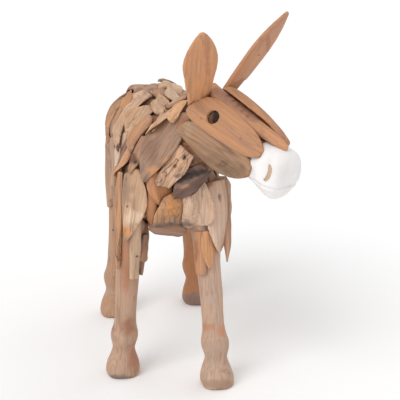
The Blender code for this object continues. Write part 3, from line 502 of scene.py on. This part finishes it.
MARKS = {
    "flank_spotted": [
        (120.3, 108.4, 1.8, 1.6, KNOT),
        (117, 118, 3.0, 1.8, UMBER),
        (113, 127, 2.4, 3.0, UMBER),
        (110, 138, 4, 5, BROWN),
        (124, 103, 4, 4, ORANGE),
    ],
    "shoulder_right_knot": [(135, 162, 3.0, 3.8, (34, 22, 18)), (133, 158, 5, 6, UMBER)],
    "chest_knotty": [
        (175.2, 165.6, 2.2, 2.2, UMBER),
        (184.1, 157.5, 2.4, 3.0, KNOT),
        (178, 176, 4, 2, ASH),
        (170, 172, 2, 4, CREAM),
    ],
    "chest_dark": [
        (172, 192, 4, 3, (196, 160, 128)),
        (182, 186, 6, 2, (150, 116, 94)),
        *stroke((178, 180), (202, 171), 5.0, 3.4, (54, 40, 36), 5),
        *stroke((176, 186), (196, 178), 3.0, 1.0, (120, 92, 80), 5),
        (186, 168, 4, 3, (96, 72, 62)),
    ],
    "chest_keel": [(169, 227, 15, 4.5, ASH), (184, 230, 5, 3, UMBER), (172, 207, 6, 8, ORANGE)],
    "chest_oval": [(187, 224, 6, 4, ASH), (181, 218, 3, 3, ASH)],
    "chest_triangle": [(160, 182, 1.6, 1.4, UMBER)],
    "shoulder_left_shield": [
        (208.5, 183, 5, 5.5, BROWN),
        (210, 201.5, 3.4, 2.4, KNOT),
        (219.6, 197.5, 1.8, 4.6, ASH),
    ],
    "shoulder_right_shield": [
        (124, 190, 8, 14, (158, 128, 106)),
        (133, 217, 9, 6, CREAM),
        (124, 232, 7, 5, ORANGE),
        (127.5, 206.5, 1.2, 1.2, UMBER),
    ],
    "cheek_right": [
        (222.5, 164, 1.5, 1.1, (184, 146, 112)),
        (222.5, 164, 6, 4, (120, 92, 70)),
        (234, 170, 12, 6, (134, 106, 80)),
        (212, 158, 9, 5, (148, 114, 88)),
        (188, 131, 4, 9, (166, 136, 104)),
        (206, 146, 8, 4, (158, 122, 98)),
    ],
    "neck_right_shield": [
        (157, 171, 8, 4, (190, 138, 96)),
        (168, 160, 9, 3, (186, 134, 94)),
        (184, 124, 7, 7, (166, 116, 86)),
        (150, 150, 8, 10, (146, 112, 92)),
    ],
    "ear_right": [
        *stroke((207, 44), (208, 72), 2.6, 4.0, (184, 128, 94), 5),
        (197, 84, 5, 6, (206, 146, 100)),
    ],
    "ear_left": [(268, 44, 2, 9, (168, 112, 82)), (259, 55, 0.8, 0.8, UMBER)],
    "eye_plate_right": [(201.3, 118.3, 1.2, 1.2, BROWN), (240.7, 139, 1.5, 1.5, BROWN)],
    "brow": [
        *stroke((219, 91), (254, 119), 5.0, 3.2, (162, 118, 92)),
        *stroke((228, 96), (248, 116), 3.0, 2.0, (118, 82, 68), 5),
        *stroke((232, 99), (240, 106), 1.6, 0.9, (196, 140, 112), 3),
    ],
    # Painted shade and light in the eye hole: dark where its depth lies in shade, brown for its lit
    # left wall
    "inner_body": [(217, 118.7, 6, 9, (40, 25, 18)), (209, 117, 3.5, 8, (112, 80, 58))],
    "flank_right_spotted": [
        (120.3, 108.4, 1.8, 1.5, KNOT),
        (118, 118, 3.4, 2, UMBER),
        (111, 136, 5, 6, BROWN),
    ],
    "flank_right_stripe": [(142, 118, 3, 9, BROWN)],
    "flank_right_orange": [(112, 174, 2.4, 4, KNOT)],
    "flank_right_long": [(118, 148, 4, 5, UMBER)],
    "shoulder_right_long": [
        (111, 252, 1.8, 14, (110, 78, 66)),
        (114, 182, 1.1, 1.1, KNOT),
        (113, 230, 1.0, 1.0, KNOT),
    ],
    "leg_front_right": [
        (127, 250, 5, 16, (178, 128, 98)),
        (126, 275, 4, 14, (172, 122, 92)),
        (127.5, 326, 6.5, 8, (158, 110, 84)),
        (133.5, 358, 5.5, 12, (166, 118, 92)),
        (116, 377.5, 12, 3, (128, 108, 98)),
        (113, 288, 1.6, 3, (150, 108, 84)),
        (113, 325, 1.6, 9, (150, 112, 92)),
    ],
    "leg_front_left": [
        (206, 327, 7, 4, (184, 134, 102)),
        (221, 331, 4, 5, (188, 138, 106)),
        (215, 346, 12, 5, (178, 148, 128)),
        (218, 384, 18, 4, (164, 132, 110)),
        (210, 300, 6, 4, (184, 154, 138)),
    ],
    "leg_hind_right": [(106, 290, 6, 5, (176, 146, 124))],
    "leg_hind_left": [(190, 268, 9, 30, (172, 116, 76)), (192, 299, 10, 6, (132, 106, 96))],
    "leg_strip_right_pale": [(137, 256, 1.2, 1.2, UMBER)],
    "leg_strip_left_inner": [(196, 250, 2, 12, BROWN)],
}

# Wood and tone of each piece that keeps its own solid
LOOKS = {
    "ear_right": ("sanded", (200, 144, 103)),
    "ear_left": ("sanded", (190, 134, 97)),
    "eye_plate_right": ("sanded", (190, 137, 98)),
    "eye_plate_left": ("sanded", (188, 135, 98)),
    "brow": ("sanded", (196, 140, 99)),
    "cheek_right": ("weathered", (160, 128, 102)),
    "cheek_left": ("weathered", (158, 126, 100)),
    "neck_right_shield": ("weathered", (160, 127, 104)),
    "neck_right_leaf": ("pale", (212, 164, 122)),
    "neck_right_crest": ("pale", (216, 174, 138)),
    "neck_crest": ("weathered", (176, 142, 114)),
    "neck_left": ("weathered", (170, 134, 106)),
    "chest_knotty": ("weathered", (212, 174, 144)),
    "chest_dark": ("charred", (98, 76, 68)),
    "chest_triangle": ("sanded", (198, 130, 82)),
    "chest_strip": ("sanded", (182, 122, 80)),
    "chest_keel": ("weathered", (196, 146, 102)),
    "chest_oval": ("pale", (222, 190, 164)),
    "shoulder_left_shield": ("pale", (212, 182, 160)),
    "shoulder_left_point": ("weathered", (186, 138, 104)),
    "shoulder_left_side": ("weathered", (184, 150, 124)),
    "shoulder_right_shield": ("pale", (204, 168, 138)),
    "shoulder_right_long": ("weathered", (192, 144, 108)),
    "shoulder_right_rear": ("weathered", (176, 140, 114)),
    "shoulder_right_knot": ("weathered", (184, 140, 108)),
    "flank_right_long": ("pale", (216, 178, 146)),
    "flank_right_tan": ("pale", (212, 170, 134)),
    "flank_right_stripe": ("weathered", (184, 136, 100)),
    "flank_right_orange": ("pale", (204, 152, 112)),
    "flank_right_white": ("pale", (224, 194, 170)),
    "flank_right_spotted": ("weathered", (196, 146, 106)),
    "flank_right_edge": ("weathered", (166, 126, 98)),
    "flank_right_rib": ("weathered", (190, 156, 130)),
    "back_middle": ("pale", (210, 172, 140)),
    "back_rear": ("weathered", (170, 136, 112)),
    "back_left_light": ("pale", (216, 180, 150)),
    "back_left_grey": ("weathered", (160, 130, 110)),
    "rump_top": ("weathered", (172, 138, 114)),
    "rump": ("weathered", (180, 140, 110)),
    "thigh_right": ("weathered", (182, 148, 122)),
    "thigh_left": ("weathered", (186, 150, 122)),
    "leg_strip_left_inner": ("sanded", (188, 136, 100)),
    "leg_strip_left_outer": ("sanded", (202, 146, 102)),
    "leg_strip_right_pale": ("pale", (212, 180, 148)),
    "leg_strip_right_inner": ("weathered", (142, 112, 92)),
    "leg_front_right": ("log", (190, 154, 128)),
    "leg_front_left": ("log", (196, 164, 142)),
    "leg_hind_right": ("log", (178, 140, 112)),
    "leg_hind_left": ("log", (176, 130, 96)),
    "inner_body": ("inner", (132, 88, 62)),
}


def look_of(node):
    kind, tone = LOOKS[node]
    return {"node": node, "wood": kind, "tone": tone, "marks": MARKS.get(node, ())}


def seed_of(name):
    """A number from 1 to 97 for a name, the same on every run."""
    return sum((place + 1) * ord(letter) for place, letter in enumerate(name)) % 97 + 1


# An ear's foot: how far its raised side is let down at most, and over what height. Its edge is
# measured at this many places across, each over this many spaces to both sides
EAR_DROP, EAR_FOOT = 0.046, 0.10
EAR_PLACES, EAR_SPACES = 24, 1.5


def rooted(piece):
    """An ear with the raised side of its foot let down into the head, which closes the gap there."""
    points = vertices_of(piece.data)
    middle, axes = grain_axes(points)
    local = (points - middle) @ axes.T
    height, aside = local[:, 0] - local[:, 0].min(), local[:, 1]
    places = np.linspace(aside.min(), aside.max(), EAR_PLACES)
    reach = (places[1] - places[0]) * EAR_SPACES
    edge = [height[np.abs(aside - place) < reach].min() for place in places]
    raised = np.minimum(np.interp(aside, places, edge), EAR_DROP)
    share = np.clip((EAR_FOOT - height) / (EAR_FOOT - raised), 0, 1)
    points = points - (share * raised)[:, None] * axes[0]
    piece.data.vertices.foreach_set("co", points.ravel())
    piece.data.update()


for name in LOOKS:
    look = look_of(name)
    if name == "inner_body":
        piece = refined(name, voxel=0.006, smoothing=4)
        hewn(piece, look, seed_of(name), wave=0.003)
    elif look["wood"] == "log":
        piece = refined(name, voxel=0.003, smoothing=3, rounding=2, swell=0.6)
        upright = np.array([[0, 0, 1.0], [1.0, 0, 0], [0, 1.0, 0]])
        middle = vertices_of(piece.data).mean(0)
        hewn(piece, look, seed_of(name), (middle, upright), wave=0.0020, ragged=0.0, flute=0.0003)
    elif look["wood"] == "sanded":
        piece = refined(name, voxel=0.0024, smoothing=3, rounding=2, crease=0.8)
        if name.startswith("ear"):
            rooted(piece)
        hewn(piece, look, seed_of(name), wave=0.0007, ragged=0.0012, flute=0.0002)
    else:
        piece = refined(name, voxel=0.0026, smoothing=3, rounding=2, crease=0.75)
        hewn(piece, look, seed_of(name))
    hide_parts(name)


# The muzzle's carving, in metres. The nostril's middle in the photograph
NOSTRIL = (266, 173)
# What is ahead of the middle is drawn back by a tenth, and the rear and its low side go further
# back and down, under the head's plates
FRONT_BACK, REAR_FROM, REAR_OVER, REAR_BACK = 0.10, 0.004, 0.028, 0.009
LOW_FROM, LOW_OVER, LOW_BACK, LOW_DROP = 0.004, 0.024, 0.010, 0.004
# The bowl round a nostril, an oval behind its middle, with its rim and the rings cut in it
BOWL_BEHIND, BOWL_TALL, BOWL_RADIUS, BOWL_DEPTH = 0.006, 1.3, 0.026, 0.0046
RIM_RADIUS, RIM_WIDTH, RIM_HEIGHT = 0.027, 0.006, 0.0008
RING_RADIUS, RING_SPREAD, RING_HEIGHT, RING_TURNS = 0.019, 0.013, 0.0006, 1100
# The slot: what lies inside the first oval and outside the second, a crescent
SLOT_RADIUS, SLOT_TALL, SLOT_DEPTH = 0.0128, 1.6, 0.0040
BITE_RADIUS, BITE_TALL, BITE_BEHIND = 0.0126, 1.9, 0.0122
# The mouth's line below the middle, the lip above it and the chin drawn in below it
MOUTH_BELOW, MOUTH_SLOPE, MOUTH_WIDTH, MOUTH_DEPTH = 0.026, 0.10, 0.0030, 0.0030
MOUTH_FROM, MOUTH_OVER = -0.045, 0.03
LIP_ABOVE, LIP_WIDTH, LIP_HEIGHT = 0.009, 0.006, 0.0015
CHIN_BELOW, CHIN_OVER, CHIN_DEPTH, CHIN_FROM = 0.004, 0.012, 0.0050, 0.004
# Waves a metre of the carved surface, and their height
CARVED_WAVES, CARVED_HEIGHT = 42, 0.0012
BARE_WOOD = (196, 168, 142)


def ramp(values, start, over):
    """0 up to a start, rising to 1 over a length."""
    return np.clip((values - start) / over, 0, 1)


def ridge(values, place, width):
    """1 at a place, falling to 0 on both sides."""
    return np.exp(-(((values - place) / width) ** 2))


def carved_muzzle():
    """The muzzle with a bowl round each nostril, the nostril's slot, lips and a chin."""
    piece = refined("muzzle", voxel=0.0018, smoothing=6, rounding=2)
    mesh = piece.data
    points, normals = vertices_of(mesh), vertices_of(mesh, "normal")
    nostril = SURFACES["muzzle"].ray_cast(EYE, pixel_ray(*NOSTRIL))[0]
    middle = Vector(vertices_of(NODES["muzzle"].data).mean(0))
    offset = points - np.array(middle)
    across, along, height = (offset @ np.array(way) for way in (LEFT, FORWARD, CROWN))
    rear, low = ramp(-along, REAR_FROM, REAR_OVER), ramp(-height, LOW_FROM, LOW_OVER)
    back = -FRONT_BACK * np.clip(along, 0, 1) - rear * (REAR_BACK + LOW_BACK * low)
    points = points + back[:, None] * np.array(FORWARD) - (LOW_DROP * rear * low)[:, None] * CROWN
    slot, out = np.zeros(len(points)), np.zeros(len(points))
    for side in (-1, 1):
        centre = nostril
        if side == 1:
            centre = nostril - LEFT * 2 * (nostril - middle).dot(LEFT)
        ahead = (points - np.array(centre)) @ np.array(FORWARD)
        above = (points - np.array(centre)) @ np.array(CROWN)
        near = across * side > 0
        reach = np.hypot(ahead + BOWL_BEHIND, above / BOWL_TALL)
        out -= near * BOWL_DEPTH * np.clip(1 - reach / BOWL_RADIUS, 0, 1)
        out += near * RIM_HEIGHT * ridge(reach, RIM_RADIUS, RIM_WIDTH)
        rings = np.clip(1 - np.abs(reach - RING_RADIUS) / RING_SPREAD, 0, 1)
        out += near * RING_HEIGHT * np.cos(reach * RING_TURNS) * rings
        inside = np.hypot(ahead, above / SLOT_TALL) < SLOT_RADIUS
        outside = np.hypot(ahead + BITE_BEHIND, above / BITE_TALL) > BITE_RADIUS
        cut = near & inside & outside
        slot[cut] = 1.0
        out -= cut * SLOT_DEPTH
    mouth = height + MOUTH_BELOW - along * MOUTH_SLOPE
    out -= MOUTH_DEPTH * ridge(mouth, 0, MOUTH_WIDTH) * ramp(along, MOUTH_FROM, MOUTH_OVER)
    out -= CHIN_DEPTH * ramp(-mouth, CHIN_BELOW, CHIN_OVER) * ramp(along, CHIN_FROM, MOUTH_OVER)
    out += LIP_HEIGHT * ridge(mouth, LIP_ABOVE, LIP_WIDTH)
    for index, point in enumerate(points):
        out[index] += noise.noise(Vector(point) * CARVED_WAVES) * CARVED_HEIGHT
    mesh.vertices.foreach_set("co", (points + normals * out[:, None]).ravel())
    mesh.update()
    apply_modifier(piece, "SMOOTH", iterations=1, factor=0.4)
    look = {"node": "muzzle", "wood": "paint", "tone": (232, 228, 226), "edge": PAINT_EDGE}
    dress(piece, look, np.stack([along, across, height], 1), seed=5)
    patch = np.tile([*linear(*BARE_WOOD), 0.0], (len(points), 1))
    patch[:, 3] = slot
    piece.data.attributes["patch"].data.foreach_set("color", patch.ravel())
    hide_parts("muzzle")


carved_muzzle()

# Outlines of slabs: shares of the length, and the half width there as a share of the widest
OUTLINES = {
    "leaf": ((0, 0.2, 0.5, 0.8, 1), (0.14, 0.76, 1.0, 0.72, 0.12)),
    "shield": ((0, 0.16, 0.5, 0.84, 1), (0.5, 0.9, 1.0, 0.8, 0.36)),
    "board": ((0, 0.06, 0.5, 0.94, 1), (0.7, 0.96, 1.0, 0.96, 0.62)),
}
# How far off a slab the heap is looked for, the slab's steps, how far it is sunk, how far it drops
# past the heap's edge, how far it bends at most, and how often its bend is evened
RAY = 0.05
LONG_STEPS, WIDE_STEPS = 22, 10
SUNK, OVERHANG_DROP, MOST_BEND, EVENING_ROUNDS = 0.002, 0.004, 0.016, 4
# How far a slab's middle line bows and its sides waver, as shares of its width
BOW_SHARE, WAVER_SHARE = 0.12, 0.16
# Waves a metre, along a slab and across it, and their height
BROAD_WAVES, BROAD_HEIGHT = (12, 40), 0.0014
SMALL_WAVES, SMALL_HEIGHT = (40, 150), 0.0006


class Heap:
    """What slabs are laid on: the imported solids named, and each slab laid since."""

    def __init__(self, names):
        self.points, self.faces = [], []
        for name in names:
            mesh = NODES[name].data
            self.add(
                [vertex.co.copy() for vertex in mesh.vertices],
                [list(polygon.vertices) for polygon in mesh.polygons],
            )

    def add(self, points, faces):
        start = len(self.points)
        self.points += points
        self.faces += [[start + index for index in face] for face in faces]
        self.tree = BVHTree.FromPolygons(self.points, self.faces)


def trunk_at(share, degrees):
    """Point and normal of the trunk by share of its length and degrees from its top to its right."""
    turn = math.radians(degrees)
    way = Vector((-math.sin(turn), 0, math.cos(turn)))
    centre = TRUNK_FRONT + Vector((0, TRUNK_LENGTH * share, 0))
    hit, normal, _, _ = SURFACES["inner_body"].ray_cast(centre, way)
    return hit, (normal if normal.dot(way) > 0 else -normal)


def lay(heap, start, end, outward, width, thickness, outline, chance):
    """One slab's points, faces and grain coordinates, bent to the heap beneath it."""
    middle, length, along = (start + end) / 2, (end - start).length, (end - start).normalized()
    outward = (outward - along * outward.dot(along)).normalized()
    across = outward.cross(along)
    shift = Vector((chance.uniform(0, 50), chance.uniform(0, 50), 0))
    shares = np.linspace(0, 1, LONG_STEPS)
    spread = np.sin(np.linspace(-1, 1, WIDE_STEPS) * math.pi / 2)
    wide = np.interp(shares, *OUTLINES[outline]) * width / 2
    plan = np.empty((LONG_STEPS, WIDE_STEPS, 2))
    height = np.full((LONG_STEPS, WIDE_STEPS), np.nan)
    for row, share in enumerate(shares):
        bow = noise.noise(Vector((share * 2, 0, 0)) + shift) * width * BOW_SHARE
        left = wide[row] * (1 + WAVER_SHARE * noise.noise(Vector((share * 6, 3, 0)) + shift))
        right = wide[row] * (1 + WAVER_SHARE * noise.noise(Vector((share * 6, 9, 0)) + shift))
        for column, place in enumerate(spread):
            a, b = (share - 0.5) * length, bow + place * (right if place > 0 else left)
            plan[row, column] = a, b
            spot = middle + along * a + across * b
            hit = heap.tree.ray_cast(spot + outward * RAY, -outward, RAY * 2)[0]
            if hit is not None:
                height[row, column] = (hit - spot).dot(outward)
    known = ~np.isnan(height)
    level = np.median(height[known]) if known.any() else 0.0
    height = np.where(known, height, level - OVERHANG_DROP)
    height = np.clip(height, level - MOST_BEND, level + MOST_BEND)
    for _ in range(EVENING_ROUNDS):
        padded = np.pad(height, 1, mode="edge")
        height = (
            padded[:-2, 1:-1] + padded[2:, 1:-1] + padded[1:-1, :-2] + padded[1:-1, 2:] + height
        ) / 5
    points, grain = [], []
    for layer in (1, 0):
        for row, share in enumerate(shares):
            for column, place in enumerate(spread):
                a, b = plan[row, column]
                crown = (1 - 0.55 * abs(place) ** 5) * (1 - 0.5 * abs(2 * share - 1) ** 9)
                wave = wave_at((a, b, 0), BROAD_WAVES, shift) * BROAD_HEIGHT
                wave += wave_at((a, b, 0), SMALL_WAVES, shift) * SMALL_HEIGHT
                rise = height[row, column] + (thickness * crown + wave if layer else -SUNK)
                points.append(middle + along * a + across * b + outward * rise)
                grain.append((a + shift.x, b + shift.y, rise))
    count = LONG_STEPS * WIDE_STEPS
    faces = []
    for row in range(LONG_STEPS - 1):
        for column in range(WIDE_STEPS - 1):
            corner = row * WIDE_STEPS + column
            ring = [corner, corner + WIDE_STEPS, corner + WIDE_STEPS + 1, corner + 1]
            faces.append(ring)
            faces.append([count + index for index in reversed(ring)])
    rim = list(range(WIDE_STEPS))
    rim += [row * WIDE_STEPS + WIDE_STEPS - 1 for row in range(1, LONG_STEPS)]
    rim += [count - 2 - column for column in range(WIDE_STEPS - 1)]
    rim += [row * WIDE_STEPS for row in range(LONG_STEPS - 2, 0, -1)]
    for here, following in zip(rim, rim[1:] + rim[:1]):
        faces.append([here, following, count + following, count + here])
    return points, faces, grain


TONES = {
    "weathered": ((186, 146, 114), (170, 134, 108), (196, 152, 118), (158, 124, 102)),
    "pale": ((212, 174, 142), (204, 160, 122), (216, 184, 156), (198, 150, 110)),
    "under": ((150, 112, 86), (132, 96, 74), (162, 124, 96), (120, 90, 72)),
}


def new_piece(name, points, faces):
    mesh = bpy.data.meshes.new(name)
    mesh.from_pydata([tuple(point) for point in points], [], faces)
    piece = bpy.data.objects.new(name, mesh)
    bpy.context.scene.collection.objects.link(piece)
    return piece


def laid_row(name, heap, slabs, kind, tones, replaced=None):
    """Several slabs as one piece, each with its own grain and tone."""
    chance = Random(seed_of(name))
    all_points, all_faces, all_grain, all_tone = [], [], [], []
    for start, end, outward, width, thickness, outline in slabs:
        points, faces, grain = lay(heap, start, end, outward, width, thickness, outline, chance)
        heap.add(points, faces)
        offset = len(all_points)
        all_points += points
        all_faces += [[offset + index for index in face] for face in faces]
        all_grain += grain
        tone = np.array(linear(*chance.choice(TONES[tones]))) * chance.uniform(0.9, 1.1)
        all_tone += [(*tone, 1.0)] * len(points)
    piece = new_piece(name, all_points, all_faces)
    look = {"node": "inner_body", "wood": kind, "tone": TONES[tones][0], "edge": LAID_EDGE}
    dress(piece, look, np.array(all_grain), seed_of(name))
    piece.data.attributes["tone"].data.foreach_set("color", np.array(all_tone).ravel())
    if replaced:
        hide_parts(replaced)


# How far chance turns a row's slabs from their place: degrees at the top and at the bottom end,
# and shares of their lean and of their width
TOP_SCATTER, BOTTOM_SCATTER = 4, 6
LEAN_RANGE, WIDTH_RANGE = (0.85, 1.15), (0.92, 1.1)


def row_slabs(chance, side, count, first, step, top, bottom, lean, width, outline, thickness):
    """Slabs side by side along the trunk, from the rear forwards."""
    made = []
    for number in range(count):
        share = first - step * number
        turn = side * (top + chance.uniform(-TOP_SCATTER, TOP_SCATTER))
        start, up = trunk_at(share, turn)
        ahead = share - lean * chance.uniform(*LEAN_RANGE)
        turn = side * (bottom + chance.uniform(-BOTTOM_SCATTER, BOTTOM_SCATTER))
        end, down = trunk_at(ahead, turn)
        broad = width * chance.uniform(*WIDTH_RANGE)
        made.append((start, end, up + down, broad, thickness, outline))
    return made


# Thin offcuts under the slabs, which show in the gaps. Each row: from and to, in degrees from the
# trunk's top, the share of its length at which the row starts, and how many
OFFCUT_ROWS = (
    (148, 186, 0.92, 8),
    (112, 152, 0.95, 9),
    (74, 116, 0.97, 9),
    (38, 80, 0.97, 8),
    (2, 44, 0.97, 7),
)
OFFCUT_STEP, OFFCUT_LEAN, OFFCUT_WIDTH, OFFCUT_THICKNESS = 0.105, 0.04, 0.084, 0.0055
OFFCUT_SEED = 40
CARRIERS = ["inner_body", "leg_front_left", "leg_front_right", "leg_hind_left", "leg_hind_right"]
UNDER = Heap(CARRIERS)
for side, hand in ((1, "right"), (-1, "left")):
    slabs = []
    chance = Random(OFFCUT_SEED + side)
    for top, bottom, first, count in OFFCUT_ROWS:
        slabs += row_slabs(
            chance, side, count, first, OFFCUT_STEP, top, bottom, OFFCUT_LEAN, OFFCUT_WIDTH,
            "board", OFFCUT_THICKNESS,
        )
    laid_row("offcuts_" + hand, UNDER, slabs, "weathered", "under")

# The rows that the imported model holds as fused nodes: node, side, how many, share of the trunk's
# length at which the row starts, step, from and to in degrees from the top, lean, width, outline
# and wood, which also names the tones
FUSED = (
    ("belly_right", 1, 4, 0.68, 0.125, 100, 156, 0.02, 0.098, "shield", "weathered"),
    ("belly_left", -1, 3, 0.68, 0.115, 100, 156, 0.02, 0.094, "shield", "weathered"),
    ("flank_right_rear", 1, 3, 0.88, 0.13, 54, 112, 0.07, 0.088, "shield", "weathered"),
    ("flank_left_rear", -1, 3, 0.90, 0.124, 54, 114, 0.08, 0.094, "shield", "weathered"),
    ("flank_left_front", -1, 3, 0.528, 0.124, 54, 114, 0.08, 0.094, "shield", "pale"),
    ("back_right", 1, 4, 0.84, 0.15, 20, 68, 0.1, 0.1, "shield", "pale"),
    ("back_left_rear", -1, 3, 0.94, 0.105, 12, 66, 0.18, 0.076, "leaf", "pale"),
    ("back_left_front", -1, 3, 0.625, 0.105, 12, 66, 0.18, 0.076, "leaf", "weathered"),
)
ROW_THICKNESS, BACK_RIGHT_THICKNESS = 0.012, 0.008
TOPS = Heap(
    CARRIERS + ["rump", "shoulder_left_side", "shoulder_right_rear", "thigh_left", "thigh_right"]
)
for name, side, count, first, step, top, bottom, lean, width, outline, kind in FUSED:
    thickness = BACK_RIGHT_THICKNESS if name == "back_right" else ROW_THICKNESS
    slabs = row_slabs(
        Random(seed_of(name)), side, count, first, step, top, bottom, lean, width, outline, thickness
    )
    laid_row("teak_" + name, TOPS, slabs, kind, kind, replaced=name)

# Further slabs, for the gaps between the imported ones: name, what it lies under, from one point of
# the photograph to another, width, thickness, outline, wood, tone, and the way that it faces
UPWARD = Vector((0, -0.2, 1))
GAP_SLABS = (
    ("flank_spotted", ("neck_crest",), (130, 96), (110, 144),
     0.030, 0.011, "leaf", "weathered", (184, 134, 98), BACK),
    ("crest_under", ("neck_right_crest", "neck_crest", "neck_right_leaf", "ear_right"),
     (182, 99), (152, 133), 0.036, 0.010, "leaf", "pale", (206, 166, 134), BACK),
    ("ridge_pale", ("neck_crest", "ear_right", "ear_left"), (158, 88), (182, 94),
     0.050, 0.014, "shield", "pale", (214, 182, 154), UPWARD),
    ("ridge_tan", ("rump_top", "neck_crest"), (136, 92), (159, 89),
     0.040, 0.013, "shield", "weathered", (186, 150, 124), UPWARD),
)
# The same behind a packed slab's edge: name, a point of the photograph on that slab, how far
# behind it, from one point to another, width, thickness, outline, wood and tone
EDGE_SLABS = (
    ("leg_strip_top", (142, 245), 0.010, (144, 222), (142, 262), 0.026, 0.010, "board",
     "weathered", (138, 106, 86)),
    ("keel_under", (170, 222), 0.030, (149, 226), (187, 230), 0.040, 0.010, "shield",
     "weathered", (158, 124, 102)),
    ("shoulder_left_top", (219, 190), 0.024, (221, 176), (221, 232), 0.054, 0.010, "shield",
     "pale", (190, 160, 138)),
    ("shoulder_left_edge", (221, 205), 0.020, (226, 181), (227, 262), 0.024, 0.010, "leaf",
     "weathered", (172, 130, 104)),
)


def placed_slab(name, heap, first, last, outward, width, thickness, outline, kind, tone):
    """One slab laid from one point to another, as a piece of its own."""
    points, faces, grain = lay(
        heap, first, last, outward, width, thickness, outline, Random(seed_of(name))
    )
    look = {"node": "inner_body", "wood": kind, "tone": tone, "edge": LAID_EDGE}
    look["marks"] = MARKS.get(name, ())
    dress(new_piece(name, points, faces), look, np.array(grain), seed_of(name))


for name, under, start, end, width, thickness, outline, kind, tone, facing in GAP_SLABS:
    heap = Heap([node for node in NODES if node not in under])
    first, last = (heap.tree.ray_cast(EYE, pixel_ray(*point))[0] for point in (start, end))
    placed_slab(name, heap, first, last, facing, width, thickness, outline, kind, tone)

# An edge slab lies flat, so the heap that it is laid on is only the muzzle, out of its reach
ALL, BARE = Heap(NODES), Heap(["muzzle"])
for name, anchor, behind, start, end, width, thickness, outline, kind, tone in EDGE_SLABS:
    depth = (ALL.tree.ray_cast(EYE, pixel_ray(*anchor))[0] - EYE).dot(-BACK) + behind
    rays = [pixel_ray(*point) for point in (start, end)]
    first, last = (EYE + ray * depth / ray.dot(-BACK) for ray in rays)
    placed_slab(name, BARE, first, last, BACK, width, thickness, outline, kind, tone)

# Floor, light and camera
FLOOR_SIZE, STUDIO_LIGHT = 60, 0.72
bpy.ops.mesh.primitive_plane_add(size=FLOOR_SIZE)
floor = bpy.context.object
floor.name = "floor"


def floor_look(attribute):
    place = attribute("position", 1)
    cloud = place.noise(scale=1.5, detail=2.0)
    colour = cloud.mixed((0.98, 0.98, 0.98, 1), (0.96, 0.96, 0.96, 1))
    return colour, cloud * 0.05 + 0.8, cloud * 0.01


floor.data.materials.append(painted("pale_floor", floor_look))


def soft_light(name, source, spread, energy):
    """A broad lamp that shines from the direction of a point round the figure."""
    light = bpy.data.lights.new(name, "SUN")
    light.energy, light.angle = energy, math.radians(spread)
    lamp = bpy.data.objects.new(name, light)
    lamp.rotation_mode = "QUATERNION"
    lamp.rotation_quaternion = (-Vector(source)).to_track_quat("-Z", "Y")
    bpy.context.scene.collection.objects.link(lamp)


soft_light("key", (-0.9, -1.0, 1.3), spread=35, energy=1.25)
soft_light("fill", (1.0, 0.9, 1.2), spread=60, energy=0.35)

world = bpy.data.worlds.new("studio")
world.use_nodes = True
world.node_tree.nodes["Background"].inputs["Color"].default_value = (1, 1, 1, 1)
world.node_tree.nodes["Background"].inputs["Strength"].default_value = STUDIO_LIGHT
bpy.context.scene.world = world
bpy.context.scene.view_settings.view_transform = "Standard"

camera_data = bpy.data.cameras.new("camera")
camera_data.sensor_width = SENSOR
camera_data.lens = FOCAL / FRAME_SIZE * SENSOR
camera = bpy.data.objects.new("camera", camera_data)
camera.location = EYE
camera.rotation_mode = "QUATERNION"
camera.rotation_quaternion = (-BACK).to_track_quat("-Z", "Y")
bpy.context.scene.collection.objects.link(camera)
bpy.context.scene.camera = camera
